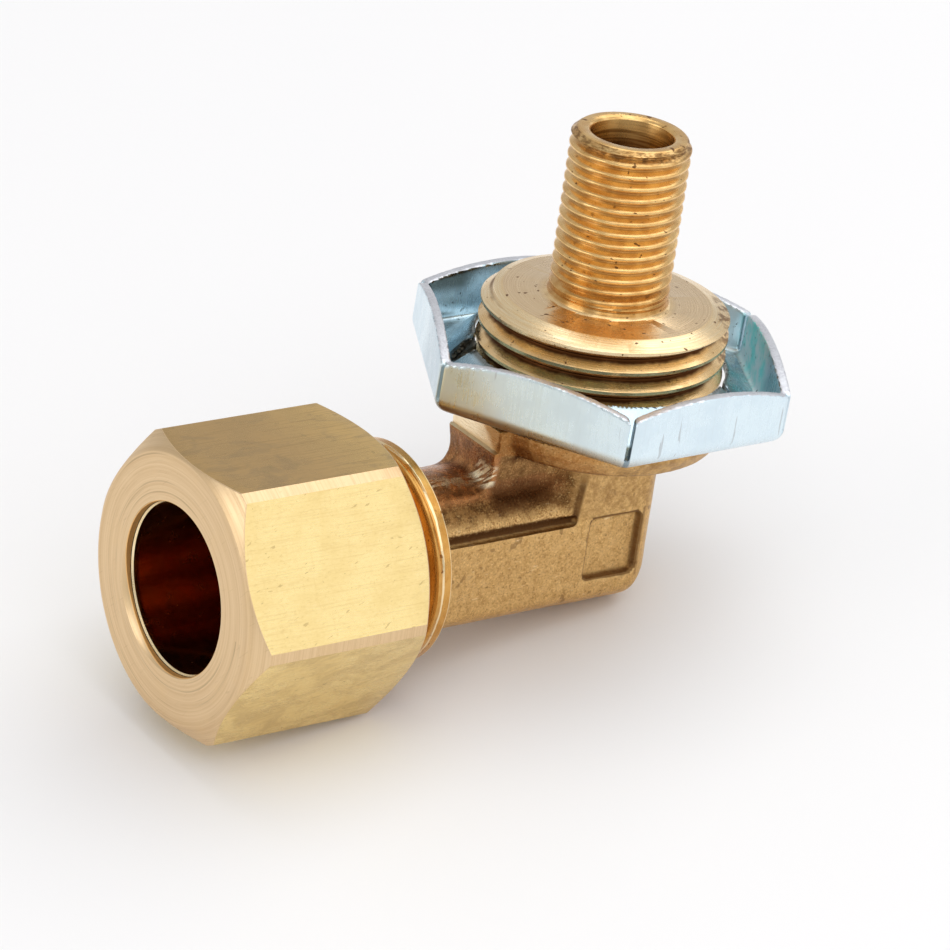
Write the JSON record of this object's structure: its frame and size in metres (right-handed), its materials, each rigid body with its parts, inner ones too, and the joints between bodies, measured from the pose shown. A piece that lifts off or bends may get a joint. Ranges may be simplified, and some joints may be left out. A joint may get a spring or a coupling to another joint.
{
  "type": "orifice fitting",
  "caption": "Forged brass elbow with a threaded nipple on a threaded boss, a hex compression nut for a tube and a stamped steel hex lock nut for a panel.",
  "frame": {"origin": "centre of the collar's top face, on the axis of boss and nipple, where a panel seats", "axes": "+Z along boss and nipple towards the outlet, -X along the tube axis out of the compression nut's mouth, which lies 10.05 mm below the origin"},
  "size_m": [0.052, 0.0273, 0.0421],
  "materials": {
    "forged_brass": "forged skin on the elbow, turned boss, nipple and threads",
    "nut_brass": "drawn hex bar, turned ends",
    "sleeve_brass": "turned",
    "zinc_steel": "stamped sheet, bright zinc plated"
  },
  "bodies": {
    "elbow": {"elbow_body": "forged_brass"},
    "sleeve": {"compression_sleeve": "sleeve_brass"},
    "nut": {"compression_nut": "nut_brass"},
    "lock_nut": {"lock_nut": "zinc_steel"}
  },
  "joints": [
    {"name": "sleeve_slide", "type": "slide", "parent": "elbow", "child": "sleeve", "axis": [-1, 0, 0], "range_m": [0, 0.007]},
    {"name": "nut_turn", "type": "hinge", "parent": "sleeve", "child": "nut", "pos_m": [-0.029, 0, -0.01005], "axis": [-1, 0, 0], "range_deg": [0, 1980]},
    {"name": "lock_nut_turn", "type": "hinge", "parent": "elbow", "child": "lock_nut", "pos_m": [0, 0, 0.001], "axis": [0, 0, 1], "range_deg": [-90, 1620]}
  ],
  "couplings": [
    {"joint": "sleeve_slide", "follows": "nut_turn", "m_per_rad": 0.00020213}
  ]
}
